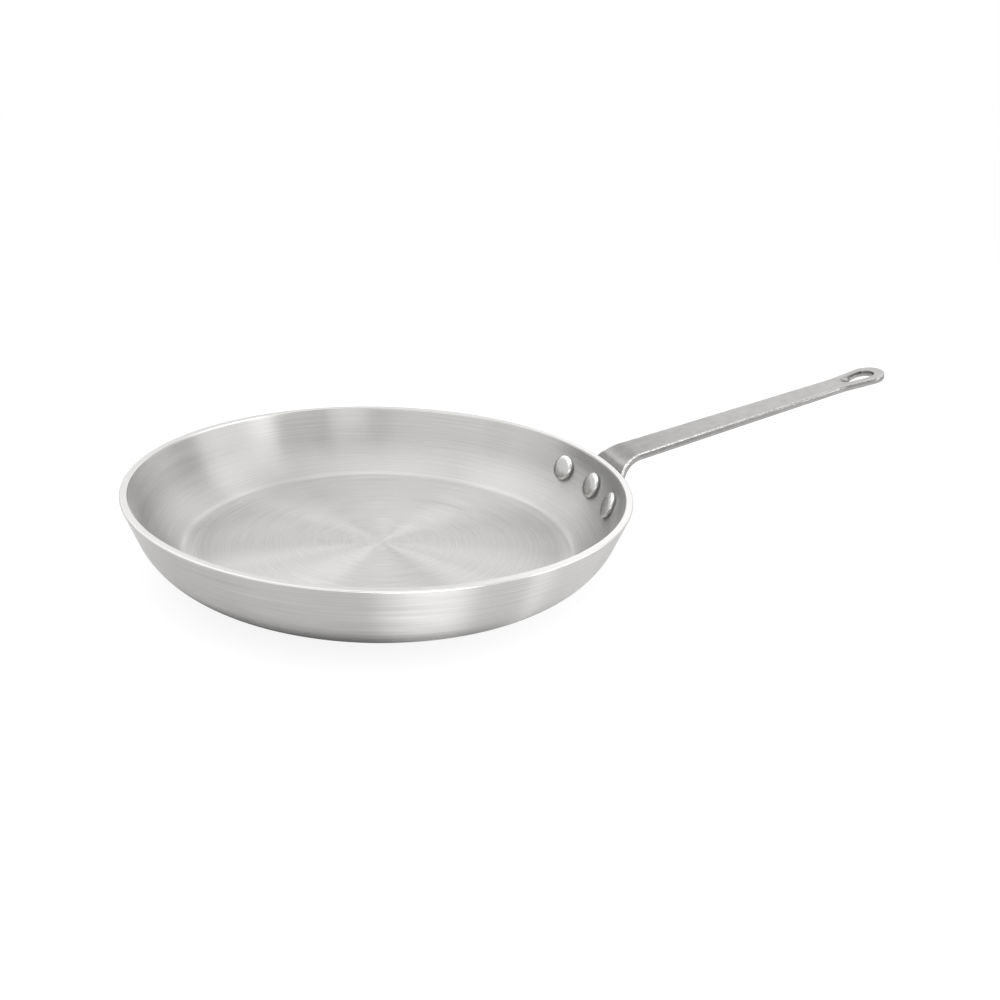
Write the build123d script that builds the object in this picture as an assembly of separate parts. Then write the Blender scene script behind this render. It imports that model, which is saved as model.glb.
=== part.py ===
from build123d import *

import os
from math import atan2, cos, degrees, dist, radians, sin, tan

# An omelette pan: a pressed aluminium body with a flat base and a wall that opens in one belly curve,
# a forged strap handle whose flange hugs the outside of the wall, and three solid rivets.
# The origin is the middle of the base's underside, +Z is up and the handle points along +X.

# Pan body. Its diameters are those of its outside, where lower and upper wall would meet in two corners.
rim_diameter = 280.0
pan_height = 46.0
wall_thickness = 4.0
base_thickness = 8.0
base_diameter = 206.8  # across the corner of base and lower wall
belly_out_share = 0.6575  # of the way out from that corner to the rim, the corner of the two walls
belly_up_share = 0.29  # of the height, the same corner
base_bend_share = 0.16  # of the outside of the lower wall, what the bend at the base takes up
floor_bend_share = 0.12  # of the inside of the lower wall, what the bend at the floor takes up
belly_bend_share = 0.8  # of the inside of the shorter wall, what the belly's bend takes up
rim_edge_radius = 0.8

# Handle strap. Its top face, carried back, would cross the line of the upper wall above the rim.
strap_crossing_height = 5.1  # that crossing, above the rim
strap_wall_gap = 0.3  # between the strap and the wall, which only the flange touches
strap_length = 192.5  # from that crossing to the tip
strap_rise = 13.5  # degrees
strap_thickness = 4.0
strap_bend_radius = 18.0  # on the hollow side of the bend over the rim
strap_root_width = 24.2  # at the crossing, as if it had no flare
strap_neck_width = 16.6  # at its narrowest, just before the hanging loop
strap_flare_radius = 28.0
strap_flare_reach = 14.4  # where the flare starts, from the crossing
strap_edge_radius = 0.8
root_overlap = 2.5  # how far the strap's root reaches down over the flange

# Hanging loop at the handle's end, with a hole that a scooped ramp leads into.
loop_width = 22.0
loop_flare_angle = 7.0
loop_blend_radius = 60.0
hole_web = 6.6  # metal left between the hole and the tip
hole_width = 12.2
hole_length = 15.5  # on the underside
hole_near_width = 10.0  # at its pan-side end, on the underside
ramp_length = 8.5  # how much longer the hole is on top
ramp_mouth_width = 8.6  # at the ramp's pan-side end
hole_edge_radius = 0.4

# Flange, the curved plate that the rivets pass through.
flange_drop = 7.0  # its upper edge, below the rim
flange_height = 21.5
flange_width = 90.0
flange_thickness = 3.6
flange_corner_radius = 9.5
flange_edge_radius = 1.0

# Rivets, in a level row at equal angles about the pan's axis.
rivet_drop_share = 0.344  # of the flange's height, where a rivet's axis meets the inner wall
rivet_angle = 14.4  # degrees between neighbours
shank_diameter = 6.4
head_diameter = 16.0
head_height = 3.2
tail_diameter = 12.6
tail_height = 2.6
dome_edge = 0.5  # upright edge round a dome
seat_depth = 1.6  # how far a dome is carried into what it sits on, before it is cut to fit

cut_overrun = 1.0
longest_bend_share = 0.95  # of a side, the most that a bend may take up
side_face_share = 0.001  # a face counts as square to a direction when its normal leans along it by less
along_edge_share = 0.9  # an edge that leans along the strap's thickness by more is a corner, not a long edge

rim_radius = rim_diameter / 2
base_radius = base_diameter / 2
root_drop = flange_drop + root_overlap
rivet_drop = flange_drop + rivet_drop_share * flange_height


def line_crossing(start, slope, other_start, other_slope):
    """Point where two lines meet, each given by a point and its slope in degrees."""
    along = cos(radians(slope)), sin(radians(slope))
    other = cos(radians(other_slope)), sin(radians(other_slope))
    gap = other_start[0] - start[0], other_start[1] - start[1]
    reach = (gap[0] * other[1] - gap[1] * other[0]) / (along[0] * other[1] - along[1] * other[0])
    return start[0] + reach * along[0], start[1] + reach * along[1]


def shifted(point, slope, distance):
    """Point moved square to a line of that slope, to its right when looking up the line."""
    return point[0] + distance * sin(radians(slope)), point[1] - distance * cos(radians(slope))


def slope_between(start, end):
    """Slope in degrees of the line from one point to another."""
    return degrees(atan2(end[1] - start[1], end[0] - start[0]))


outer_belly = base_radius + belly_out_share * (rim_radius - base_radius), belly_up_share * pan_height
lower_wall_slope = slope_between((base_radius, 0), outer_belly)
upper_wall_slope = slope_between(outer_belly, (rim_radius, pan_height))


def wall_corners(outset, base_height):
    """Corners of the body's half section, from the axis up to the rim, with the walls moved out by outset."""
    base = (0, base_height)
    lower = shifted((base_radius, 0), lower_wall_slope, outset)
    upper = shifted((rim_radius, pan_height), upper_wall_slope, outset)
    base_corner = line_crossing(base, 0, lower, lower_wall_slope)
    belly_corner = line_crossing(lower, lower_wall_slope, upper, upper_wall_slope)
    rim = line_crossing(upper, upper_wall_slope, (0, pan_height), 0)
    return base, base_corner, belly_corner, rim


def bend_radius(share, wall, turn):
    """Radius of a bend through a turn in degrees that takes up that share of a wall's length."""
    return share * wall / tan(radians(turn) / 2)


inner_corners = wall_corners(-wall_thickness, base_thickness)
lower_inner_wall = dist(inner_corners[1], inner_corners[2])
shorter_inner_wall = min(lower_inner_wall, dist(inner_corners[2], inner_corners[3]))
inner_belly_bend = bend_radius(belly_bend_share, shorter_inner_wall, upper_wall_slope - lower_wall_slope)


def inner_line():
    """The inside of the half section as one line, from the floor's middle round its two bends to the rim."""
    floor_bend = bend_radius(floor_bend_share, lower_inner_wall, lower_wall_slope)
    return FilletPolyline(*inner_corners, radius=(floor_bend, inner_belly_bend))


def outer_line(outset):
    """The outside of the half section, moved outwards by outset, with its bends round the same centres."""
    _, base_corner, belly_corner, _ = wall_corners(0, 0)
    base_bend = bend_radius(base_bend_share, dist(base_corner, belly_corner), lower_wall_slope)
    belly_bend = inner_belly_bend + wall_thickness
    return FilletPolyline(*wall_corners(outset, -outset), radius=(base_bend + outset, belly_bend + outset))


def closed_section(near, far):
    """Face between two open lines that run the same way, placed in the upright plane of the handle."""
    start = Line(near @ 0, far @ 0)
    end = Line(near @ 1, far @ 1)
    return Plane.XZ * make_face([near, end, far, start])


def turned_ring(section):
    """Solid of revolution whose seam lies away from the handle, where nothing is cut or joined."""
    return Rot(0, 0, 180) * revolve(section, Axis.Z)


def pan_shell():
    """The pressed body before its rivet holes are drilled."""
    section = closed_section(inner_line(), outer_line(0))
    rim_corner = section.vertices().sort_by(Axis.X)[-1]
    section = fillet(rim_corner, rim_edge_radius)
    return turned_ring(section)


strap_wall_line = shifted((rim_radius, pan_height), upper_wall_slope, strap_wall_gap)
strap_corner = line_crossing(strap_wall_line, upper_wall_slope, (0, pan_height + strap_crossing_height), 0)
strap_plane = Plane(
    origin=(strap_corner[0], 0, strap_corner[1]),
    x_dir=(cos(radians(strap_rise)), 0, sin(radians(strap_rise))),
    z_dir=(-sin(radians(strap_rise)), 0, cos(radians(strap_rise))),
)


def strap_line(depth):
    """Side view of the strap as one line: up the wall, round the bend and out to the tip.

    It lies below the strap's top face by depth.
    """
    upright = shifted(strap_corner, upper_wall_slope, depth)
    sloping = shifted(strap_corner, strap_rise, depth)
    corner = line_crossing(upright, upper_wall_slope, sloping, strap_rise)
    foot = line_crossing(upright, upper_wall_slope, (0, pan_height - root_drop), 0)
    reach = strap_length + cut_overrun
    tip = sloping[0] + reach * cos(radians(strap_rise)), sloping[1] + reach * sin(radians(strap_rise))
    bend = strap_bend_radius + strap_thickness - depth
    longest_bend = longest_bend_share * dist(foot, corner) / tan(radians(upper_wall_slope - strap_rise) / 2)
    return FilletPolyline(foot, corner, tip, radius=min(bend, longest_bend))


def strap_outline():
    """Outline of the strap seen square to its top face: flared root, long taper and round hanging loop."""
    loop_radius = loop_width / 2
    flare = radians(loop_flare_angle)
    touch = Vector(strap_length - loop_radius - loop_radius * sin(flare), loop_radius * cos(flare))
    neck = Vector(touch.X - (touch.Y - strap_neck_width / 2) / tan(flare), strap_neck_width / 2)
    taper = (strap_root_width - strap_neck_width) / 2 / neck.X
    root_end = strap_flare_reach - strap_flare_radius
    root = Vector(root_end, strap_root_width / 2 - taper * root_end)
    root_side = root + Vector(0, strap_flare_radius)
    edge = FilletPolyline(root_side, root, neck, touch, radius=(strap_flare_radius, loop_blend_radius))
    other_edge = mirror(edge, Plane.XZ)
    tip = ThreePointArc(edge @ 1, (strap_length, 0), other_edge @ 1)
    back = Line(edge @ 0, other_edge @ 0)
    return make_face([edge, tip, other_edge, back])


def hanging_hole():
    """Cutter for the hole: the same round outer end on both faces, and a ramp that makes it longer on top."""
    outer_centre = strap_length - hole_web - hole_width / 2
    near_end = strap_length - hole_web - hole_length

    def outline(end, width):
        outer = Pos(outer_centre, 0) * Circle(hole_width / 2)
        inner = Pos(end + width / 2, 0) * Circle(width / 2)
        return make_hull((outer + inner).edges())

    top = strap_plane * outline(near_end - ramp_length, ramp_mouth_width)
    under = strap_plane * Pos(0, 0, -strap_thickness) * outline(near_end, hole_near_width)
    through = loft([under, top], ruled=True)
    above = extrude(top, cut_overrun)
    below = extrude(under, -cut_overrun)
    return through + above + below


def strap():
    """The bent strap, cut to its outline and rounded along its edges."""
    side = closed_section(strap_line(0), strap_line(strap_thickness))
    slab = extrude(side, strap_root_width / 2 + strap_flare_radius, both=True)
    bar = slab & extrude(strap_plane * strap_outline(), pan_height, both=True)
    upward = strap_plane.z_dir
    lowest = pan_height - root_drop + strap_edge_radius
    long_edges = []
    for face in bar.faces():
        if abs(face.normal_at().dot(upward)) < side_face_share:
            for edge in face.edges():
                if abs(edge.tangent_at().dot(upward)) < along_edge_share and edge.center().Z > lowest:
                    long_edges.append(edge)
    return fillet(long_edges, strap_edge_radius)


def flange():
    """The curved plate that follows the outside of the wall, a rounded oblong as seen from the handle."""
    ring = turned_ring(closed_section(outer_line(0), outer_line(flange_thickness)))
    middle = pan_height - flange_drop - flange_height / 2
    corner_radius = min(flange_corner_radius, longest_bend_share * flange_height / 2)
    oblong = Plane.YZ * Pos(0, middle) * RectangleRounded(flange_width, flange_height, corner_radius)
    plate = ring & extrude(oblong, rim_diameter)
    inset = flange_height / 2 - flange_edge_radius
    border = []
    for face in plate.faces():
        if face.normal_at().X > side_face_share:
            for edge in face.edges():
                place = edge.center()
                if abs(place.Y) > flange_edge_radius or abs(place.Z - middle) > inset:
                    border.append(edge)
    return fillet(border, flange_edge_radius)


def handle_blank():
    """The whole forging before it is drilled for the rivets, with both edges of its hanging hole eased."""
    forging = strap() + flange() - hanging_hole()
    hole_edges = []
    for face in forging.faces():
        if abs(face.normal_at().dot(strap_plane.z_dir)) > 1 - side_face_share:
            for border in face.inner_wires():
                hole_edges += border.edges()
    return fillet(hole_edges, hole_edge_radius)


def rivet_plane(depth, outward):
    """Plane square to the middle rivet's axis, a depth behind the inner wall, facing out or into the pan."""
    slope = radians(upper_wall_slope)
    rim_inside = rim_radius - wall_thickness / sin(slope)
    seat = Vector(rim_inside - rivet_drop / tan(slope), 0, pan_height - rivet_drop)
    axis = Vector(sin(slope), 0, -cos(slope))
    return Plane(origin=seat + axis * depth, x_dir=(0, 1, 0), z_dir=axis if outward else -axis)


def dome(diameter, height):
    """One end of a rivet: a low crown over an upright edge, with a skirt that runs back into its seat."""
    half = diameter / 2
    crown_height = height - dome_edge
    crown_radius = (half**2 + crown_height**2) / (2 * crown_height)
    skirt = Line((0, -seat_depth), (half, -seat_depth))
    edge = Line(skirt @ 1, (half, dome_edge))
    crown = RadiusArc(edge @ 1, (0, height), -crown_radius)
    axis_line = Line(crown @ 1, skirt @ 0)
    return revolve(Plane.XZ * make_face([skirt, edge, crown, axis_line]), Axis.Z)


def shank():
    """The middle rivet's shank, which fills its hole from dome to dome."""
    length = wall_thickness + flange_thickness + 2 * dome_edge
    return extrude(rivet_plane(-dome_edge, True) * Circle(shank_diameter / 2), length)


def rivet(turn, shell, blank):
    """A set rivet, turned about the pan's axis, its head seated on the wall and its tail on the flange."""
    spin = Rot(0, 0, turn)
    head = spin * (rivet_plane(0, False) * dome(head_diameter, head_height))
    tail = spin * (rivet_plane(wall_thickness + flange_thickness, True) * dome(tail_diameter, tail_height))
    return (head - shell) + spin * shank() + (tail - blank)


def omelette_pan():
    """Every piece of the pan by its name."""
    shell = pan_shell()
    blank = handle_blank()
    turns = {"rivet_left": rivet_angle, "rivet_middle": 0, "rivet_right": -rivet_angle}
    pieces = {name: rivet(turn, shell, blank) for name, turn in turns.items()}
    for turn in turns.values():
        hole = Rot(0, 0, turn) * shank()
        shell -= hole
        blank -= hole
    return {"pan_body": shell, "handle": blank, **pieces}


os.makedirs("parts", exist_ok=True)
for name, piece in omelette_pan().items():
    export_step(piece, f"parts/{name}.step")
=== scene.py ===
from math import radians

import bpy
import numpy as np
from mathutils import Matrix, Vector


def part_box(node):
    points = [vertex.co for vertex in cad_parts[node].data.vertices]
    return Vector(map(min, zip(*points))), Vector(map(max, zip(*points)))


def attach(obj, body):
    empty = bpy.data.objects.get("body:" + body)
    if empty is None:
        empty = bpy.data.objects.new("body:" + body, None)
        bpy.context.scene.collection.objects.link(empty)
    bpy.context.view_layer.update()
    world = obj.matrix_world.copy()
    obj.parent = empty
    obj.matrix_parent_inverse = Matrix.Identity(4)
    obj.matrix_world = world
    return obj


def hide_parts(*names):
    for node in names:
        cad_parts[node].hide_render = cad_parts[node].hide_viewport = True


bl_info = {
    "name": "Omelette pan",
    "version": (1, 0, 0),
    "blender": (4, 5, 0),
    "location": "3D View > Sidebar > Omelette pan",
    "description": "Turned aluminium omelette pan with a riveted forged handle, in a plain studio",
    "category": "Object",
}

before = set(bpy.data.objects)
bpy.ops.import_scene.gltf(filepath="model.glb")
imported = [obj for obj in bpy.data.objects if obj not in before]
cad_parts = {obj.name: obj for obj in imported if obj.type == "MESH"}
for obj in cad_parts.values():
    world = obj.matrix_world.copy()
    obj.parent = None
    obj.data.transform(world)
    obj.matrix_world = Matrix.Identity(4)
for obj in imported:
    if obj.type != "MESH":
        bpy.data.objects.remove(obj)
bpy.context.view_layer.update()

MM = 0.001
STRAP_RISE = radians(13.5)
STRAP_CORNER = (142.28 * MM, 0, 51.1 * MM)  # where the strap's top face, carried back, meets the wall's line
STRAP_UP = (-np.sin(STRAP_RISE), 0, np.cos(STRAP_RISE))  # square to the strap's top face

# A scratch program found these values, by fitting renders to the photograph's tones. They are each lamp's
# name, how far it is turned from the handle and raised above the table in degrees, its distance, its width and
# height, and how many times as bright as a white card it is. They give more light than a plain level would.
LAMPS = (
    ("left_overhead_softbox", (140.9, 48.7), 1.3, (1.78, 0.83), 1.18),
    ("right_softbox", (-27.3, 27.7), 1.3, (1.49, 1.12), 1.49),
    ("front_low_strip", (-88.9, 2.35), 0.5, (0.31, 0.04), 16.7),
    ("back_softbox", (95.7, 26.4), 1.3, (1.34, 0.12), 1.43),
    ("back_right_softbox", (46.2, 35.1), 1.3, (0.76, 0.85), 0.92),
    ("front_right_strip", (-64.8, 3.0), 1.3, (1.60, 0.24), 10.03),
    ("near_overhead_softbox", (-108.8, 85.9), 1.3, (1.24, 0.95), 1.43),
    ("front_softbox", (-135.2, 8.7), 1.3, (1.29, 0.77), 1.11),
    ("overhead_long_softbox", (78.2, 73.7), 1.3, (0.30, 0.90), 0.33),
)

# The flag's turn and height in degrees, its distance, and its width and height.
FLAG = ((-60, 17), 0.9, (0.5, 0.55))


def linear(hex_colour):
    """Linear red, green and blue of an sRGB colour such as "#c8c9ca"."""
    srgb = np.array([int(hex_colour[i:i + 2], 16) for i in (1, 3, 5)]) / 255
    return tuple(np.where(srgb <= 0.04045, srgb / 12.92, ((srgb + 0.055) / 1.055) ** 2.4))


def add(tree, kind, settings=None, inputs=None):
    """Adds a node with its settings; an input is a value or the socket of another node."""
    new = tree.nodes.new("ShaderNode" + kind)
    for name, value in (settings or {}).items():
        setattr(new, name, value)
    for name, value in (inputs or {}).items():
        if isinstance(value, bpy.types.NodeSocket):
            tree.links.new(value, new.inputs[name])
        else:
            new.inputs[name].default_value = value
    return new


# Sizes and colours

class PanBodySizes(bpy.types.PropertyGroup):
    rim_diameter: bpy.props.FloatProperty(
        name="Rim diameter", description="Across the outside of the rim", default=280 * MM, unit="LENGTH")
    height: bpy.props.FloatProperty(
        name="Height", description="From the underside to the rim",
        default=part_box("pan_body")[1].z, unit="LENGTH")
    wall: bpy.props.FloatProperty(
        name="Wall", description="Thickness of the wall", default=4 * MM, unit="LENGTH")
    base: bpy.props.FloatProperty(
        name="Base", description="Thickness of the base", default=8 * MM, unit="LENGTH")
    base_diameter: bpy.props.FloatProperty(
        name="Base diameter", description="Across the corner where base and lower wall meet unrounded",
        default=206.8 * MM, unit="LENGTH")
    belly_out: bpy.props.FloatProperty(
        name="Belly out", description="Share of the way from base to rim where the two walls meet",
        default=0.6575, subtype="FACTOR")
    belly_up: bpy.props.FloatProperty(
        name="Belly up", description="Share of the height where the two walls meet",
        default=0.29, subtype="FACTOR")
    base_bend: bpy.props.FloatProperty(
        name="Base bend", description="Share of the outer lower wall that the bend under it takes up",
        default=0.16, subtype="FACTOR")
    floor_bend: bpy.props.FloatProperty(
        name="Floor bend", description="Share of the inner lower wall that the floor's bend takes up",
        default=0.12, subtype="FACTOR")
    belly_bend: bpy.props.FloatProperty(
        name="Belly bend", description="Share of the inner lower wall that the belly's bend takes up",
        default=0.8, subtype="FACTOR")
    rim_edge: bpy.props.FloatProperty(
        name="Rim edge", description="Radius of the rim's outer edge", default=0.8 * MM, unit="LENGTH")
    rim_inner_edge: bpy.props.FloatProperty(
        name="Rim inner edge", description="Radius of the rim's inner edge", default=0.35 * MM, unit="LENGTH")


class RivetSizes(bpy.types.PropertyGroup):
    head_diameter: bpy.props.FloatProperty(
        name="Head diameter", description="Across a set head, inside the pan", default=16 * MM, unit="LENGTH")
    head_height: bpy.props.FloatProperty(
        name="Head height", description="From the wall to a head's top", default=3.2 * MM, unit="LENGTH")
    tail_diameter: bpy.props.FloatProperty(
        name="Tail diameter", description="Across an upset tail, on the flange", default=12.6 * MM,
        unit="LENGTH")
    tail_height: bpy.props.FloatProperty(
        name="Tail height", description="From the flange to a tail's top", default=2.6 * MM, unit="LENGTH")
    edge: bpy.props.FloatProperty(
        name="Edge", description="Height of a dome's widest line over what it sits on", default=0.9 * MM,
        unit="LENGTH")
    undercut: bpy.props.FloatProperty(
        name="Undercut", description="How far a head draws in under its widest line", default=0.8 * MM,
        unit="LENGTH")
    fullness: bpy.props.FloatProperty(
        name="Fullness", default=2.7,
        description="2 makes a dome an ellipse, and more makes it flatter with a rounder edge")
    shank_diameter: bpy.props.FloatProperty(
        name="Shank diameter", description="Across the shank in its hole", default=6.4 * MM, unit="LENGTH")
    grip: bpy.props.FloatProperty(
        name="Grip", description="From head to tail, through wall and flange", default=7.6 * MM,
        unit="LENGTH")
    drop: bpy.props.FloatProperty(
        name="Drop", description="From the rim down to the rivets' middles", default=14.396 * MM,
        unit="LENGTH")
    spacing: bpy.props.FloatProperty(
        name="Spacing", description="Angle between neighbours about the pan's axis", default=radians(14.4),
        subtype="ANGLE")


# Under this stage's lamps the handle and the rim render much lighter than written, the body a little lighter,
# and the rivets about as written or a little darker.
class FinishColours(bpy.types.PropertyGroup):
    body: bpy.props.FloatVectorProperty(
        name="Body", description="Turned aluminium of the pan", subtype="COLOR", default=linear("#bdbcbb"))
    rim: bpy.props.FloatVectorProperty(
        name="Rim", description="Rubbed aluminium of the rim", subtype="COLOR", default=linear("#bfbebd"))
    handle: bpy.props.FloatVectorProperty(
        name="Handle", description="Plating of the handle", subtype="COLOR", default=linear("#888786"))
    rivet: bpy.props.FloatVectorProperty(
        name="Rivets", description="Pressed aluminium of the rivets", subtype="COLOR",
        default=linear("#c6c6c4"))


# A scratch program found the camera's place, turn and lens, by fitting the pan's outlines to the photograph.
class StudioSettings(bpy.types.PropertyGroup):
    camera_place: bpy.props.FloatVectorProperty(
        name="Camera place", description="Where the camera stands", subtype="TRANSLATION", unit="LENGTH",
        default=(-0.148148, -0.551176, 0.261827))
    camera_turn: bpy.props.FloatVectorProperty(
        name="Camera turn", description="How the camera is turned", subtype="EULER",
        default=(radians(68.39464), radians(-3.12575), radians(-20.44203)))
    camera_lens: bpy.props.FloatProperty(
        name="Lens", description="Focal length on a 36 mm sensor", default=39.1086)
    floor_size: bpy.props.FloatProperty(
        name="Floor size", description="Side of the square floor", default=8.0, unit="LENGTH")


# Shapes

def run(start, end, count):
    """Points from start to end, crowded towards both ends: start + (end - start)(1 - cos(pi i / n)) / 2."""
    share = (1 - np.cos(np.pi * np.arange(count + 1) / count)) / 2
    return start + (end - start) * share[:, None]


def rounded_path(corners, radii, run_count, bend_count):
    """Path through corners in the plane, with each inner corner rounded to its radius.

    A bend of radius R between unit directions a and b starts R tan(t / 2) before the corner, where t is the
    angle from a to b, and its point at angle s is start + R (a sin s + n (1 - cos s)), with n the unit normal
    of a on b's side. A radius of zero keeps the corner.
    """
    corners = np.asarray(corners, float)
    legs = np.diff(corners, axis=0)
    ways = legs / np.linalg.norm(legs, axis=1)[:, None]
    points, last = [], corners[0]
    for corner, before, after, radius in zip(corners[1:-1], ways[:-1], ways[1:], radii):
        cross = before[0] * after[1] - before[1] * after[0]
        turn = np.arctan2(abs(cross), before @ after)
        start = corner - before * radius * np.tan(turn / 2)
        normal = np.sign(cross) * np.array([-before[1], before[0]])
        angle = np.linspace(0, turn, bend_count + 1)[:, None]
        bend = start + radius * (before * np.sin(angle) + normal * (1 - np.cos(angle)))
        points += [run(last, start, run_count)[:-1], bend[:-1]]
        last = bend[-1]
    points.append(run(last, corners[-1], run_count))
    return np.concatenate(points)


def inner_corners(outside, wall, floor):
    """Corners of the inside: the floor at its height, and the walls moved inwards by their thickness.

    Two lines p + t a and q + u b meet where t solves t a - u b = q - p. The last corner is at the rim's
    height.
    """
    legs = np.diff(outside, axis=0)
    ways = legs / np.linalg.norm(legs, axis=1)[:, None]
    starts = outside[:-1] + wall * np.stack([-ways[:, 1], ways[:, 0]], axis=1)
    starts = np.vstack([[0, floor], starts[1:], outside[-1]])
    ways = np.vstack([ways, [1, 0]])
    t = [np.linalg.solve(np.array([a, -b]).T, q - p)[0]
         for p, a, q, b in zip(starts, ways, starts[1:], ways[1:])]
    meetings = starts[:-1] + np.array(t)[:, None] * ways[:-1]
    return np.vstack([starts[0], meetings])


def outer_corners(sizes):
    """Corners of the body's outside: on the axis, base and lower wall, the two walls, and the rim."""
    rim, base = sizes.rim_diameter / 2, sizes.base_diameter / 2
    belly = base + sizes.belly_out * (rim - base), sizes.belly_up * sizes.height
    return np.array([(0, 0), (base, 0), belly, (rim, sizes.height)])


def surface_of_revolution(name, profile, turns):
    """Mesh of the point (r, z) of the profile at angle a: (r cos a, r sin a, z), closed at both poles."""
    count = len(profile) - 2
    angle = 2 * np.pi * np.arange(turns) / turns
    r, z = profile[1:-1, :1], profile[1:-1, 1:]
    rings = np.stack([r * np.cos(angle), r * np.sin(angle), z + 0 * angle], axis=2).reshape(-1, 3)
    points = np.vstack([rings, [0, 0, profile[0, 1]], [0, 0, profile[-1, 1]]])
    here = np.arange(turns)
    there = (here + 1) % turns
    row = turns * np.arange(count - 1)[:, None]
    quads = np.stack([row + here, row + there, row + turns + there, row + turns + here], axis=2)
    quads = quads.reshape(-1, 4)
    last = turns * (count - 1)
    first_cap = np.stack([there, here, np.full(turns, count * turns)], axis=1)
    last_cap = np.stack([last + here, last + there, np.full(turns, count * turns + 1)], axis=1)
    mesh = bpy.data.meshes.new(name)
    mesh.from_pydata(points.tolist(), [], quads.tolist() + first_cap.tolist() + last_cap.tolist())
    mesh.shade_smooth()
    return mesh


def pan_profile(sizes):
    """The body's half section as one closed line from the axis under the base, over the rim and back inside.

    A bend that takes up a length c of its wall and turns by t has the radius c / tan(t / 2).
    """
    outside = outer_corners(sizes)
    inside = inner_corners(outside, sizes.wall, sizes.base)
    legs = np.diff(outside, axis=0)
    slopes = np.arctan2(legs[:, 1], legs[:, 0])
    inner_wall = np.linalg.norm(inside[2] - inside[1])
    base_radius = sizes.base_bend * np.linalg.norm(legs[1]) / np.tan(slopes[1] / 2)
    floor_radius = sizes.floor_bend * inner_wall / np.tan(slopes[1] / 2)
    belly_radius = sizes.belly_bend * inner_wall / np.tan((slopes[2] - slopes[1]) / 2)
    radii = [
        base_radius, belly_radius + sizes.wall, sizes.rim_edge,
        sizes.rim_inner_edge, belly_radius, floor_radius]
    return rounded_path(np.vstack([outside, inside[::-1]]), radii, 14, 12)


def dome(radius, height, edge, fullness, count):
    """Half section of a dome from its top to its edge: (u / radius)^f + (w / (height - edge))^f = 1."""
    angle = np.linspace(0, np.pi / 2, count + 1)
    return np.stack([
        radius * np.sin(angle) ** (2 / fullness),
        edge + (height - edge) * np.cos(angle) ** (2 / fullness)], axis=1)


def rivet_profile(sizes):
    """A set rivet's half section from its tail's top to its head's top, with the wall's inside at zero.

    A head is undercut, so a dark gap shows under its edge. Both ends run into what they sit on, because wall
    and flange are curved and the rivet is not.
    """
    sink = 0.4 * MM
    head = dome(sizes.head_diameter / 2, sizes.head_height, sizes.edge, sizes.fullness, 24)
    tail = dome(sizes.tail_diameter / 2, sizes.tail_height, sizes.edge, sizes.fullness, 24)
    tail = tail * (1, -1) - (0, sizes.grip)
    shank = sizes.shank_diameter / 2
    between = [
        (tail[-1, 0], sink - sizes.grip), (shank, sink - sizes.grip), (shank, -sink),
        (head[-1, 0] - sizes.undercut, -sink), (head[-1, 0] - sizes.undercut, 0)]
    return np.vstack([tail, between, head[::-1]])


# Materials

def from_axis(tree):
    """Distance of each point from the pan's axis, and the level direction away from the axis."""
    place = add(tree, "TexCoord").outputs["Object"]
    flat = add(tree, "VectorMath", {"operation": "MULTIPLY"}, {0: place, 1: (1, 1, 0)}).outputs[0]
    radius = add(tree, "VectorMath", {"operation": "LENGTH"}, {0: flat}).outputs["Value"]
    return radius, add(tree, "VectorMath", {"operation": "NORMALIZE"}, {0: flat}).outputs[0]


def place_parts(tree):
    """X, Y and Z of each point in the part's frame."""
    return add(tree, "SeparateXYZ", inputs={0: add(tree, "TexCoord").outputs["Object"]}).outputs


def facing_up(tree):
    """Z of the surface's own normal: one where it looks up, zero on an upright side."""
    return add(tree, "SeparateXYZ", inputs={0: add(tree, "NewGeometry").outputs["Normal"]}).outputs["Z"]


def inside(tree):
    """One on the pan's inside, which all looks up, and zero on its outside."""
    return add(tree, "Math", {"operation": "GREATER_THAN"}, {0: facing_up(tree), 1: 0.0}).outputs[0]


def band(tree, value, starts, ends, curve):
    """One between two edges of a value: it rises from zero over the pair starts and falls over ends."""
    rise = add(tree, "MapRange", {"interpolation_type": curve}, {
        "Value": value, "From Min": starts[0], "From Max": starts[1], "To Min": 0.0, "To Max": 1.0})
    fall = add(tree, "MapRange", {"interpolation_type": curve}, {
        "Value": value, "From Min": ends[0], "From Max": ends[1], "To Min": 1.0, "To Max": 0.0})
    return add(tree, "Math", {"operation": "MULTIPLY"}, {0: rise.outputs[0], 1: fall.outputs[0]}).outputs[0]


def pushed_normal(tree, direction, share):
    """The surface's normal, pushed in a direction by a share of its length."""
    push = add(tree, "VectorMath", {"operation": "SCALE"}, {0: direction, "Scale": share}).outputs[0]
    normal = add(tree, "NewGeometry").outputs["Normal"]
    both = add(tree, "VectorMath", {"operation": "ADD"}, {0: normal, 1: push}).outputs[0]
    return add(tree, "VectorMath", {"operation": "NORMALIZE"}, {0: both}).outputs[0]


def turned_tangent(tree):
    """Direction round the pan's axis at each point, along the marks that the lathe leaves."""
    place = place_parts(tree)
    back = add(tree, "Math", {"operation": "MULTIPLY"}, {0: place["Y"], 1: -1.0})
    around = add(tree, "CombineXYZ", inputs={"X": back.outputs[0], "Y": place["X"]})
    return add(tree, "VectorMath", {"operation": "NORMALIZE"}, {0: around.outputs[0]}).outputs[0]


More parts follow.
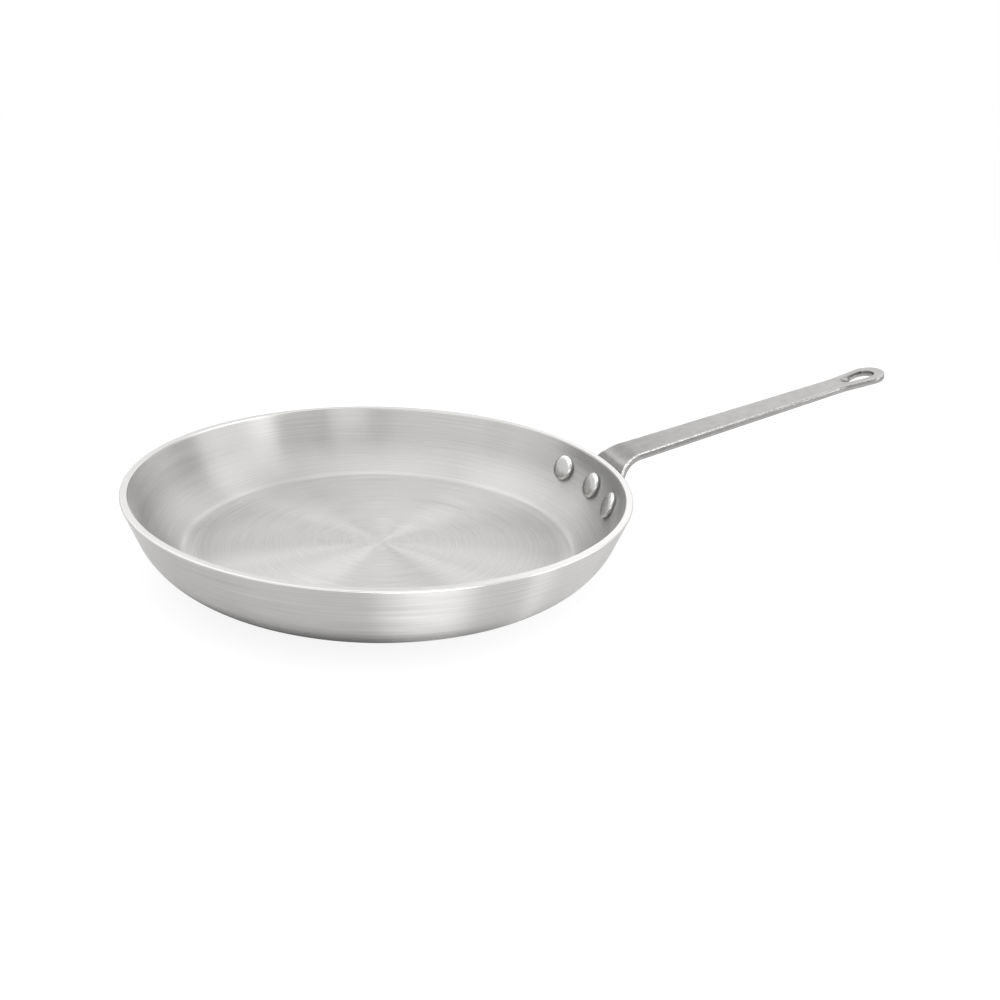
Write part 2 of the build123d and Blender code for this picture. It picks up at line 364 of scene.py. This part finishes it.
def ring_coordinates(tree, arc, pitch):
    """Coordinates that change quickly from ring to ring and slowly along a ring.

    They are (x / r, y / r) times arc, and the distance along the section, taken as r + z, over pitch.
    """
    radius, out = from_axis(tree)
    along = add(tree, "Math", {"operation": "ADD"}, {0: radius, 1: place_parts(tree)["Z"]}).outputs[0]
    wide = add(tree, "VectorMath", {"operation": "SCALE"}, {0: out, "Scale": arc}).outputs[0]
    deep = add(tree, "Math", {"operation": "DIVIDE"}, {0: along, 1: pitch}).outputs[0]
    depth = add(tree, "CombineXYZ", inputs={"Z": deep}).outputs[0]
    return add(tree, "VectorMath", {"operation": "ADD"}, {0: wide, 1: depth}).outputs[0]


def leaning_normal(tree, lean, starts, ends):
    """A shading normal that leans outwards between two pairs of radii, as on a slightly dished floor.

    The mesh's floor is flat. Only its shading leans, so that its highlights turn as the photograph's do.
    """
    radius, out = from_axis(tree)
    dished = band(tree, radius, starts, ends, "SMOOTHSTEP")
    share = add(tree, "Math", {"operation": "MULTIPLY"}, {0: dished, 1: np.tan(lean)}).outputs[0]
    return pushed_normal(tree, out, share)


def bend_burnish_and_highlight(tree, starts, ends):
    """One on the bend round the floor, which the roller burnishes smoother and where a highlight is painted;
    it fades over the pairs of radii.
    """
    ring = band(tree, from_axis(tree)[0], starts, ends, "SMOOTHERSTEP")
    return add(tree, "Math", {"operation": "MULTIPLY"}, {0: ring, 1: inside(tree)}).outputs[0]


def painted_base_shade(tree, darkest, palest):
    """Painted shade on the outside low down, standing in for the shadowed floor that it mirrors.

    Right at the base it is darkest where X is at most -30 mm, and rises to palest where X is 75 mm or more.
    """
    place = place_parts(tree)
    dark = add(tree, "MapRange", inputs={
        "Value": place["X"], "From Min": -30 * MM, "From Max": 75 * MM,
        "To Min": darkest, "To Max": palest})
    shade = add(tree, "MapRange", {"interpolation_type": "SMOOTHERSTEP"}, {
        "Value": place["Z"], "From Min": 7 * MM, "From Max": 24 * MM,
        "To Min": dark.outputs[0], "To Max": 1.0})
    return add(tree, "Mix", {"data_type": "FLOAT"}, {0: inside(tree), 2: shade.outputs[0], 3: 1.0}).outputs[0]


def painted_wall_shade(tree, darkest):
    """Painted shade on the inside near the handle, standing in for a darker reflection there.

    It is darkest high on the wall, 14 degrees to the right of the handle as seen from the pan's axis.
    """
    place = add(tree, "TexCoord").outputs["Object"]
    towards = (np.cos(radians(-14)), np.sin(radians(-14)), 0)
    out = add(tree, "VectorMath", {"operation": "DOT_PRODUCT"}, {0: place, 1: towards}).outputs["Value"]
    near = add(tree, "MapRange", {"interpolation_type": "SMOOTHSTEP"}, {
        "Value": out, "From Min": 106 * MM, "From Max": 127 * MM, "To Min": 0.0, "To Max": 1.0}).outputs[0]
    high = add(tree, "MapRange", {"interpolation_type": "SMOOTHSTEP"}, {
        "Value": place_parts(tree)["Z"],
        "From Min": 29 * MM, "From Max": 42 * MM, "To Min": 0.0, "To Max": 1.0}).outputs[0]
    both = add(tree, "Math", {"operation": "MULTIPLY"}, {0: near, 1: high}).outputs[0]
    share = add(tree, "Math", {"operation": "MULTIPLY"}, {0: both, 1: inside(tree)}).outputs[0]
    return add(tree, "MapRange", inputs={"Value": share, "To Min": 1.0, "To Max": darkest}).outputs[0]


def scaled_noise(tree, pitch, detail):
    """Noise on Object coordinates whose lumps are about one pitch apart."""
    place = add(tree, "TexCoord").outputs["Object"]
    noise = add(tree, "TexNoise", inputs={"Vector": place, "Scale": 1 / pitch, "Detail": detail})
    return noise.outputs["Fac"]


def near_edges(tree, reach):
    """One on an outer edge, falling to zero at about that reach from it.

    It is how much of the metal behind a point lies outside the piece within that reach.
    """
    behind = add(tree, "AmbientOcclusion", {"inside": True, "only_local": True, "samples": 8}, {
        "Distance": reach}).outputs["AO"]
    return add(tree, "MapRange", inputs={
        "Value": behind, "From Min": 0.94, "From Max": 0.76, "To Min": 0.0, "To Max": 1.0}).outputs[0]


def edge_wear_and_highlight(tree, reach, inner, outer):
    """Edges along the strap's two sides where they face up, rubbed and with a painted highlight.

    The hole's edges, which lie nearer the strap's middle than inner, stay as they are. Towards the tip the
    rubbing and the painted highlight fade.
    """
    place = place_parts(tree)
    across = add(tree, "Math", {"operation": "ABSOLUTE"}, {0: place["Y"]}).outputs[0]
    beside = add(tree, "MapRange", inputs={
        "Value": across, "From Min": inner, "From Max": outer, "To Min": 0.0, "To Max": 1.0}).outputs[0]
    edge = add(tree, "Math", {"operation": "MULTIPLY"}, {0: near_edges(tree, reach), 1: beside}).outputs[0]
    upper = add(tree, "MapRange", inputs={
        "Value": facing_up(tree), "From Min": 0.15, "From Max": 0.5, "To Min": 0.0, "To Max": 1.0}).outputs[0]
    both = add(tree, "Math", {"operation": "MULTIPLY"}, {0: edge, 1: upper}).outputs[0]
    fade = add(tree, "MapRange", inputs={
        "Value": place["X"], "From Min": 180 * MM, "From Max": 260 * MM, "To Min": 1.0, "To Max": 0.45})
    return add(tree, "Math", {"operation": "MULTIPLY"}, {0: both, 1: fade.outputs[0]}).outputs[0]


def strap_height(tree):
    """Height over the plane of the strap's top face, which rises along X."""
    place = add(tree, "TexCoord").outputs["Object"]
    from_top = add(tree, "VectorMath", {"operation": "SUBTRACT"}, {0: place, 1: STRAP_CORNER}).outputs[0]
    return add(tree, "VectorMath", {"operation": "DOT_PRODUCT"}, {0: from_top, 1: STRAP_UP}).outputs["Value"]


def painted_side_shade(tree, under_edge, below):
    """Painted shade and light on the strap's sides: darker just under the rubbed edges, lighter below."""
    deep = add(tree, "MapRange", {"interpolation_type": "SMOOTHSTEP"}, {
        "Value": strap_height(tree), "From Min": -3 * MM, "From Max": -1.6 * MM,
        "To Min": below, "To Max": under_edge}).outputs[0]
    side = add(tree, "MapRange", inputs={
        "Value": facing_up(tree), "From Min": 0.1, "From Max": 0.35, "To Min": 1.0, "To Max": 0.0}).outputs[0]
    return add(tree, "Mix", {"data_type": "FLOAT"}, {0: side, 2: 1.0, 3: deep}).outputs[0]


def crowned_sides(tree, lean):
    """A shading normal for slightly crowned sides: it leans up at their top and down at their bottom.

    The mesh's sides are flat, and only their shading leans. The strap is 4 mm thick. What lies lower is the
    flange, and keeps its normal.
    """
    height = strap_height(tree)
    turn = add(tree, "MapRange", inputs={
        "Value": height, "From Min": -4 * MM, "From Max": 0.0,
        "To Min": -np.tan(lean), "To Max": np.tan(lean)}).outputs[0]
    strap = add(tree, "MapRange", inputs={
        "Value": height, "From Min": -6 * MM, "From Max": -4.5 * MM, "To Min": 0.0, "To Max": 1.0}).outputs[0]
    share = add(tree, "Math", {"operation": "MULTIPLY"}, {0: turn, 1: strap}).outputs[0]
    return pushed_normal(tree, STRAP_UP, share)


def new_material(name):
    """A material with an empty node tree, and the tree."""
    material = bpy.data.materials.new(name)
    material.use_nodes = True
    material.node_tree.nodes.clear()
    return material, material.node_tree


def finish_with(tree, shader):
    """Links a shader to the material's output."""
    output = add(tree, "OutputMaterial")
    tree.links.new(shader.outputs[0], output.inputs["Surface"])


def turned_aluminium(colour):
    """Bare aluminium, spun and skimmed on a lathe: fine rings that draw each highlight out into a spoke.

    Real feed marks are about 0.2 mm apart, finer than a pixel, so they are drawn 1.1 mm apart.
    """
    material, tree = new_material("turned_aluminium")
    rings = add(tree, "TexNoise", inputs={
        "Vector": ring_coordinates(tree, 2.2, 1.1 * MM), "Scale": 1.0, "Detail": 3.0}).outputs["Fac"]
    ring_shade = add(tree, "MapRange", inputs={
        "Value": rings, "From Min": 0.3, "From Max": 0.7, "To Min": 0.87, "To Max": 1.07}).outputs[0]
    # Painted highlight on the bend round the floor, where the burnish also makes the metal smoother.
    burnish_and_highlight = bend_burnish_and_highlight(tree, (98 * MM, 107 * MM), (108 * MM, 114 * MM))
    ring_tone_and_highlight = add(tree, "Math", {"operation": "MULTIPLY_ADD"}, {0: burnish_and_highlight, 1: 0.13, 2: ring_shade}).outputs[0]
    # Painted shade low down on the outside, darkest on one side.
    base_shaded = add(tree, "Math", {"operation": "MULTIPLY"}, {0: ring_tone_and_highlight, 1: painted_base_shade(tree, 0.33, 0.9)}).outputs[0]
    # Painted shade high on the inner wall near the handle.
    shaded_tone = add(tree, "Math", {"operation": "MULTIPLY"}, {0: base_shaded, 1: painted_wall_shade(tree, 0.55)}).outputs[0]
    tint = add(tree, "VectorMath", {"operation": "SCALE"}, {0: tuple(colour), "Scale": shaded_tone}).outputs[0]
    rough = add(tree, "MapRange", inputs={
        "Value": rings, "From Min": 0.3, "From Max": 0.7, "To Min": 0.36, "To Max": 0.44}).outputs[0]
    smoothed = add(tree, "Math", {"operation": "MULTIPLY_ADD"}, {0: burnish_and_highlight, 1: -0.06, 2: rough}).outputs[0]
    finish_with(tree, add(tree, "BsdfPrincipled", inputs={
        "Base Color": tint, "Metallic": 1.0, "Roughness": smoothed,
        "Anisotropic": 1.0, "Anisotropic Rotation": 0.25, "Tangent": turned_tangent(tree),
        "Normal": leaning_normal(tree, radians(4.7), (0, 30 * MM), (98 * MM, 108 * MM))}))
    return material


def rubbed_rim(colour):
    """Bare aluminium, rubbed across the rim with a fine abrasive: an even, bright line with no rings."""
    material, tree = new_material("rubbed_aluminium_rim")
    finish_with(tree, add(tree, "BsdfPrincipled", inputs={
        "Base Color": (*colour, 1), "Metallic": 1.0, "Roughness": 0.3}))
    return material


def plated_iron(colour):
    """Forged iron, tumbled and bright plated: satin flats that waver, rubbed edges with a painted glint,
    painted shade on the sides.

    The forging's waves are about 9 mm apart and the plating's patches 5 mm. The lumps along the edges are
    1.7 mm apart, the painted glints 1.3 mm, and the grain, drawn coarser than a real plating's so that it
    shows,
    0.9 mm.
    """
    material, tree = new_material("plated_forged_iron")
    # Mask of the strap's rubbed edges, which carries wear and a painted highlight.
    edge = edge_wear_and_highlight(tree, 1.6 * MM, 6.6 * MM, 8 * MM)
    waves = add(tree, "Math", {"operation": "MULTIPLY"}, {0: scaled_noise(tree, 9 * MM, 2.0), 1: 0.1 * MM})
    lumps = add(tree, "Math", {"operation": "MULTIPLY"}, {0: scaled_noise(tree, 1.7 * MM, 2.0), 1: edge})
    uneven = add(tree, "Math", {"operation": "MULTIPLY_ADD"}, {
        0: lumps.outputs[0], 1: 0.25 * MM, 2: waves.outputs[0]})
    grained = add(tree, "Math", {"operation": "MULTIPLY_ADD"}, {
        0: scaled_noise(tree, 0.9 * MM, 3.0), 1: 0.025 * MM, 2: uneven.outputs[0]})
    bump = add(tree, "Bump", inputs={
        "Height": grained.outputs[0], "Strength": 1.0, "Distance": 1.0,
        "Normal": crowned_sides(tree, radians(13))})
    patches = add(tree, "MapRange", inputs={
        "Value": scaled_noise(tree, 5 * MM, 4.0), "From Min": 0.3, "From Max": 0.7,
        "To Min": 0.9, "To Max": 1.08})
    # The plating's patches, with painted shade and light on the strap's sides.
    shade = add(tree, "Math", {"operation": "MULTIPLY"}, {
        0: patches.outputs[0], 1: painted_side_shade(tree, 0.74, 1.25)})
    tint = add(tree, "VectorMath", {"operation": "SCALE"}, {0: tuple(colour), "Scale": shade.outputs[0]})
    # Painted glint: on the rubbed edges the colour goes towards near white in spots.
    glint = add(tree, "MapRange", inputs={
        "Value": scaled_noise(tree, 1.3 * MM, 1.0), "From Min": 0.38, "From Max": 0.6,
        "To Min": 0.35, "To Max": 1.0})
    bright = add(tree, "Math", {"operation": "MULTIPLY"}, {0: edge, 1: glint.outputs[0]})
    rubbed = add(tree, "Mix", {"data_type": "RGBA"}, {
        0: bright.outputs[0], 6: tint.outputs[0], 7: (*linear("#e6e5e4"), 1)})
    rough = add(tree, "MapRange", inputs={"Value": edge, "To Min": 0.31, "To Max": 0.2})
    finish_with(tree, add(tree, "BsdfPrincipled", inputs={
        "Base Color": rubbed.outputs[2], "Metallic": 1.0, "Roughness": rough.outputs[0],
        "Normal": bump.outputs[0]}))
    return material


def pressed_aluminium(colour):
    """Soft aluminium wire, upset by the press: a smooth, shiny dome with shallow dents about 3 mm apart."""
    material, tree = new_material("pressed_aluminium")
    dents = add(tree, "Math", {"operation": "MULTIPLY"}, {0: scaled_noise(tree, 3 * MM, 3.0), 1: 0.06 * MM})
    bump = add(tree, "Bump", inputs={"Height": dents.outputs[0], "Strength": 1.0, "Distance": 1.0})
    rough = add(tree, "MapRange", inputs={
        "Value": scaled_noise(tree, 1.5 * MM, 3.0), "From Min": 0.35, "From Max": 0.65,
        "To Min": 0.16, "To Max": 0.28})
    finish_with(tree, add(tree, "BsdfPrincipled", inputs={
        "Base Color": (*colour, 1), "Metallic": 1.0, "Roughness": rough.outputs[0],
        "Normal": bump.outputs[0]}))
    return material


def black_cloth():
    """Black cotton cloth, woven: matt, and so dark that metal shows it as a line."""
    material, tree = new_material("black_cloth")
    finish_with(tree, add(tree, "BsdfDiffuse", inputs={"Color": (*linear("#303030"), 1)}))
    return material


def pale_board():
    """Card, coated matt white: nearly the background's white to a camera, and darker in metal.

    The white's strength is over 1, because at 1 a grey line shows where the floor ends.
    """
    material, tree = new_material("pale_board")
    board = add(tree, "BsdfDiffuse", inputs={"Color": (*linear("#e7e7e7"), 1)})
    white = add(tree, "Emission", inputs={"Color": (1, 1, 1, 1), "Strength": 1.07})
    path = add(tree, "LightPath")
    mirrored = add(tree, "Math", {"operation": "MAXIMUM"}, {
        0: path.outputs["Is Glossy Ray"], 1: path.outputs["Is Transmission Ray"]})
    faint = add(tree, "Math", {"operation": "MULTIPLY"}, {0: mirrored.outputs[0], 1: 0.1})
    plain = add(tree, "Math", {"operation": "MULTIPLY"}, {0: path.outputs["Is Camera Ray"], 1: 0.82})
    lift = add(tree, "Math", {"operation": "MAXIMUM"}, {0: faint.outputs[0], 1: plain.outputs[0]})
    finish_with(tree, add(tree, "MixShader", inputs={
        0: lift.outputs[0], 1: board.outputs[0], 2: white.outputs[0]}))
    return material


# Studio

def place_facing(obj, turn, distance):
    """Puts an object at a turn from the handle and a height above the table in degrees, facing the pan."""
    azimuth, elevation = np.radians(turn)
    obj.location = distance * np.array([
        np.cos(elevation) * np.cos(azimuth), np.cos(elevation) * np.sin(azimuth), np.sin(elevation)])
    obj.rotation_euler = (np.pi / 2 - elevation, 0, azimuth + np.pi / 2)


def flat_sheet(name, width, depth, material):
    """An oblong sheet with its middle at the origin, looking along Z."""
    x, y = width / 2, depth / 2
    mesh = bpy.data.meshes.new(name)
    mesh.from_pydata([(-x, -y, 0), (x, -y, 0), (x, y, 0), (-x, y, 0)], [], [(0, 1, 2, 3)])
    mesh.materials.append(material)
    return bpy.data.objects.new(name, mesh)


def add_floor(scene, size):
    """The board that the pan stands on."""
    floor = flat_sheet("floor", size, size, pale_board())
    scene.collection.objects.link(floor)


def add_flag(scene, turn, distance, size):
    """A dark cloth flag that only the metal shows, as the dark line under its edges."""
    flag = flat_sheet("dark_flag", *size, black_cloth())
    place_facing(flag, turn, distance)
    flag.visible_camera = flag.visible_diffuse = flag.visible_shadow = False
    scene.collection.objects.link(flag)


def add_lamp(scene, name, turn, distance, size, brightness):
    """An oblong soft lamp that faces the pan; a strip only shows in the metal and leaves the floor alone."""
    lamp = bpy.data.lights.new(name, "AREA")
    lamp.shape = "RECTANGLE"
    lamp.size, lamp.size_y = size
    lamp.energy = brightness * np.pi * size[0] * size[1]
    obj = bpy.data.objects.new(name, lamp)
    obj.visible_camera = False
    obj.visible_diffuse = not name.endswith("strip")
    place_facing(obj, turn, distance)
    scene.collection.objects.link(obj)


def add_camera(scene, studio):
    """The camera that took the photograph, as fitted to it."""
    data = bpy.data.cameras.new("camera")
    data.lens = studio.camera_lens
    data.sensor_width = 36
    camera = bpy.data.objects.new("camera", data)
    camera.location = studio.camera_place
    camera.rotation_euler = studio.camera_turn
    scene.collection.objects.link(camera)
    scene.camera = camera


def seen(tree):
    """One for a camera, glossy or transmission ray, else zero."""
    path = add(tree, "LightPath")
    either = add(tree, "Math", {"operation": "MAXIMUM"}, {
        0: path.outputs["Is Camera Ray"], 1: path.outputs["Is Glossy Ray"]})
    return add(tree, "Math", {"operation": "MAXIMUM"}, {
        0: either.outputs[0], 1: path.outputs["Is Transmission Ray"]}).outputs[0]


def set_world(scene):
    """A white background that metal reflects, and a plain level of light for what is matt."""
    world = bpy.data.worlds.new("studio")
    world.use_nodes = True
    tree = world.node_tree
    tree.nodes.clear()
    plain = add(tree, "Background", inputs={"Color": (1, 1, 1, 1), "Strength": 0.85})
    white = add(tree, "Background", inputs={"Color": (1, 1, 1, 1), "Strength": 1.0})
    mix = add(tree, "MixShader", inputs={0: seen(tree), 1: plain.outputs[0], 2: white.outputs[0]})
    output = add(tree, "OutputWorld")
    tree.links.new(mix.outputs[0], output.inputs["Surface"])
    scene.world = world


# Operators

def dress(node_name, material):
    """Gives a CAD node's mesh one material."""
    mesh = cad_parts[node_name].data
    mesh.materials.clear()
    mesh.materials.append(material)


def show(context, mesh, node):
    """Puts a mesh in the scene as the piece that stands for a CAD node."""
    piece = bpy.data.objects.new(mesh.name, mesh)
    context.scene.collection.objects.link(piece)
    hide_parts(node)
    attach(piece, "root")


class PAN_OT_body(bpy.types.Operator):
    """Turns the pan body from its section and gives it its lathe finish"""
    bl_idname = "pan.body"
    bl_label = "Pan body"

    def execute(self, context):
        sizes, colours = context.scene.pan_body_sizes, context.scene.pan_finish_colours
        mesh = surface_of_revolution("turned_pan", pan_profile(sizes), 360)
        mesh.materials.append(turned_aluminium(colours.body))
        mesh.materials.append(rubbed_rim(colours.rim))
        count = len(mesh.polygons)
        centres = np.empty(count * 3)
        mesh.polygons.foreach_get("center", centres)
        on_rim = centres.reshape(-1, 3)[:, 2] > sizes.height - sizes.rim_edge
        mesh.polygons.foreach_set("material_index", on_rim.astype(np.int32))
        show(context, mesh, "pan_body")
        return {"FINISHED"}


class PAN_OT_handle(bpy.types.Operator):
    """Gives the handle its plated finish"""
    bl_idname = "pan.handle"
    bl_label = "Handle"

    def execute(self, context):
        dress("handle", plated_iron(context.scene.pan_finish_colours.handle))
        return {"FINISHED"}


class PAN_OT_rivets(bpy.types.Operator):
    """Upsets the three rivets through the wall and the handle's flange"""
    bl_idname = "pan.rivets"
    bl_label = "Rivets"

    def execute(self, context):
        body, sizes = context.scene.pan_body_sizes, context.scene.pan_rivet_sizes
        material = pressed_aluminium(context.scene.pan_finish_colours.rivet)
        belly, rim = outer_corners(body)[-2:]
        slope = np.arctan2(rim[1] - belly[1], rim[0] - belly[0])
        seat = rim[0] - body.wall / np.sin(slope) - sizes.drop / np.tan(slope), 0, rim[1] - sizes.drop
        for side, node in ((1, "rivet_left"), (0, "rivet_middle"), (-1, "rivet_right")):
            mesh = surface_of_revolution("set_" + node, rivet_profile(sizes), 72)
            mesh.transform(
                Matrix.Rotation(side * sizes.spacing, 4, "Z") @ Matrix.Translation(seat)
                @ Matrix.Rotation(-slope, 4, "Y"))
            mesh.materials.append(material)
            show(context, mesh, node)
        return {"FINISHED"}


class PAN_OT_stage(bpy.types.Operator):
    """Sets up the floor, the lamps, the world and the camera"""
    bl_idname = "pan.stage"
    bl_label = "Stage"

    def execute(self, context):
        scene, studio = context.scene, context.scene.pan_studio
        add_floor(scene, studio.floor_size)
        add_camera(scene, studio)
        set_world(scene)
        for lamp in LAMPS:
            add_lamp(scene, *lamp)
        add_flag(scene, *FLAG)
        scene.view_settings.view_transform = "Standard"
        return {"FINISHED"}


class PAN_PT_panel(bpy.types.Panel):
    bl_idname = "PAN_PT_panel"
    bl_label = "Omelette pan"
    bl_space_type = "VIEW_3D"
    bl_region_type = "UI"
    bl_category = "Omelette pan"

    def draw(self, context):
        for operator in OPERATORS:
            self.layout.operator(operator.bl_idname)
        for group in GROUPS:
            for name in GROUPS[group].__annotations__:
                self.layout.prop(getattr(context.scene, group), name)


OPERATORS = (PAN_OT_body, PAN_OT_handle, PAN_OT_rivets, PAN_OT_stage)
GROUPS = {
    "pan_body_sizes": PanBodySizes,
    "pan_rivet_sizes": RivetSizes,
    "pan_finish_colours": FinishColours,
    "pan_studio": StudioSettings,
}


def register():
    for group in GROUPS.values():
        bpy.utils.register_class(group)
    for name, group in GROUPS.items():
        setattr(bpy.types.Scene, name, bpy.props.PointerProperty(type=group))
    for item in (*OPERATORS, PAN_PT_panel):
        bpy.utils.register_class(item)


def unregister():
    for item in (PAN_PT_panel, *OPERATORS):
        bpy.utils.unregister_class(item)
    for name, group in GROUPS.items():
        delattr(bpy.types.Scene, name)
        bpy.utils.unregister_class(group)


def main():
    register()
    bpy.ops.pan.body()
    bpy.ops.pan.handle()
    bpy.ops.pan.rivets()
    bpy.ops.pan.stage()


if __name__ == "__main__":
    main()
